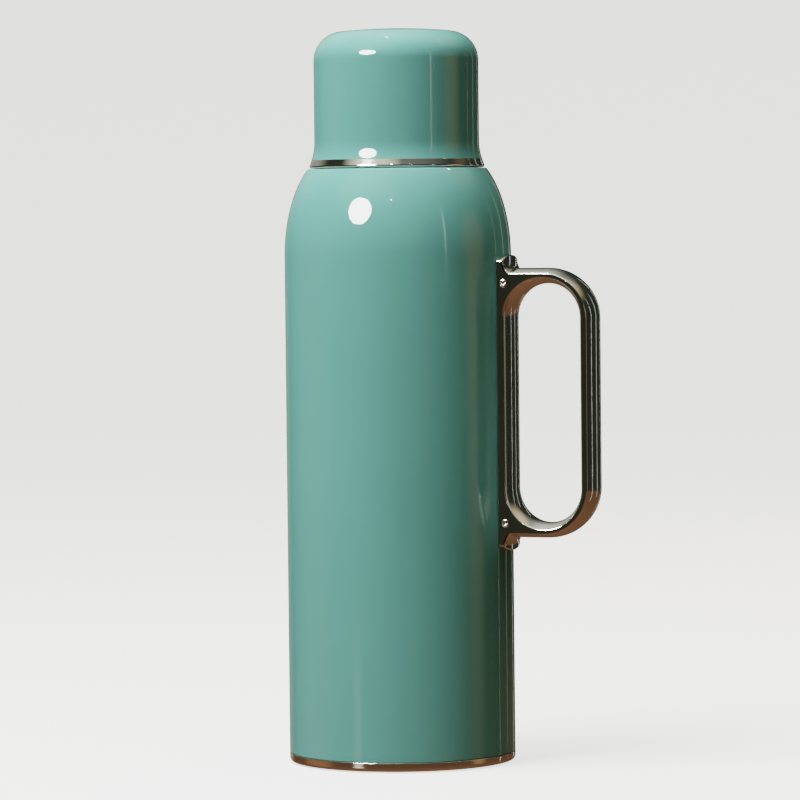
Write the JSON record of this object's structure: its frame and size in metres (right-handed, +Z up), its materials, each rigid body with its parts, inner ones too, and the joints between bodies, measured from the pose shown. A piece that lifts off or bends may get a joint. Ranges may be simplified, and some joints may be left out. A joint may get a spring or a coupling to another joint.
{
  "type": "vacuum flask",
  "caption": "Tall double-walled steel vacuum flask with a screw-on cup, a push-button pouring stopper under it and a closed-loop side handle.",
  "frame": {"origin": "on the flask's axis, at the underside of its foot pad", "axes": "+Z up along the flask's axis, +X from the axis towards the handle"},
  "size_m": [0.1472, 0.104, 0.336],
  "materials": {
    "green_enamel": "glossy sage-green enamel",
    "bright_chrome": "polished",
    "steel": "satin, pressed and drawn",
    "foil": "bright foil",
    "getter_metal": "matt grey",
    "grey_plastic": "fine moulded texture",
    "liner_plastic": "smooth moulded",
    "green_plastic": "glossy moulded",
    "silicone": "soft, slightly translucent",
    "pad_rubber": "matt"
  },
  "bodies": {
    "flask": {"outer_shell": "green_enamel", "inner_bottle": "steel", "radiation_foil": "foil", "getter": "getter_metal", "base_plate": "steel", "vacuum_seal": "getter_metal", "base_ring": "bright_chrome", "base_cover": "grey_plastic", "foot_pad": "pad_rubber", "neck_collar": "grey_plastic", "collar_washer": "silicone", "handle": "bright_chrome", "upper_bracket": "steel", "lower_bracket": "steel", "upper_screw": "steel", "lower_screw": "steel"},
    "stopper_thread": {"stopper_seal": "silicone"},
    "stopper": {"stopper_body": "grey_plastic", "stopper_cover": "grey_plastic", "button_seal": "silicone", "button_spring": "steel"},
    "button": {"push_button": "green_plastic", "valve_stem": "steel", "valve_disc": "grey_plastic", "valve_seal": "silicone"},
    "cup_thread": {"cup_rim": "bright_chrome"},
    "cup": {"cup_shell": "green_enamel", "cup_liner": "liner_plastic"}
  },
  "joints": [
    {"name": "stopper_rise", "type": "slide", "parent": "flask", "child": "stopper_thread", "axis": [0, 0, 1], "range_m": [0, 0.045]},
    {"name": "stopper_turn", "type": "hinge", "parent": "stopper_thread", "child": "stopper", "pos_m": [0, 0, 0.29], "axis": [0, 0, 1], "range_deg": [0, 1085]},
    {"name": "button_press", "type": "slide", "parent": "stopper", "child": "button", "axis": [0, 0, -1], "range_m": [0, 0.004], "stiffness_N_per_m": 700, "springref_m": -0.004, "deforming": ["button_spring"]},
    {"name": "cup_rise", "type": "slide", "parent": "stopper", "child": "cup_thread", "axis": [0, 0, 1], "range_m": [0, 0.06]},
    {"name": "cup_turn", "type": "hinge", "parent": "cup_thread", "child": "cup", "pos_m": [0, 0, 0.3], "axis": [0, 0, 1], "range_deg": [0, 1445]}
  ],
  "couplings": [
    {"joint": "stopper_turn", "follows": "stopper_rise", "rad_per_m": 418.88},
    {"joint": "cup_turn", "follows": "cup_rise", "rad_per_m": 418.88}
  ]
}
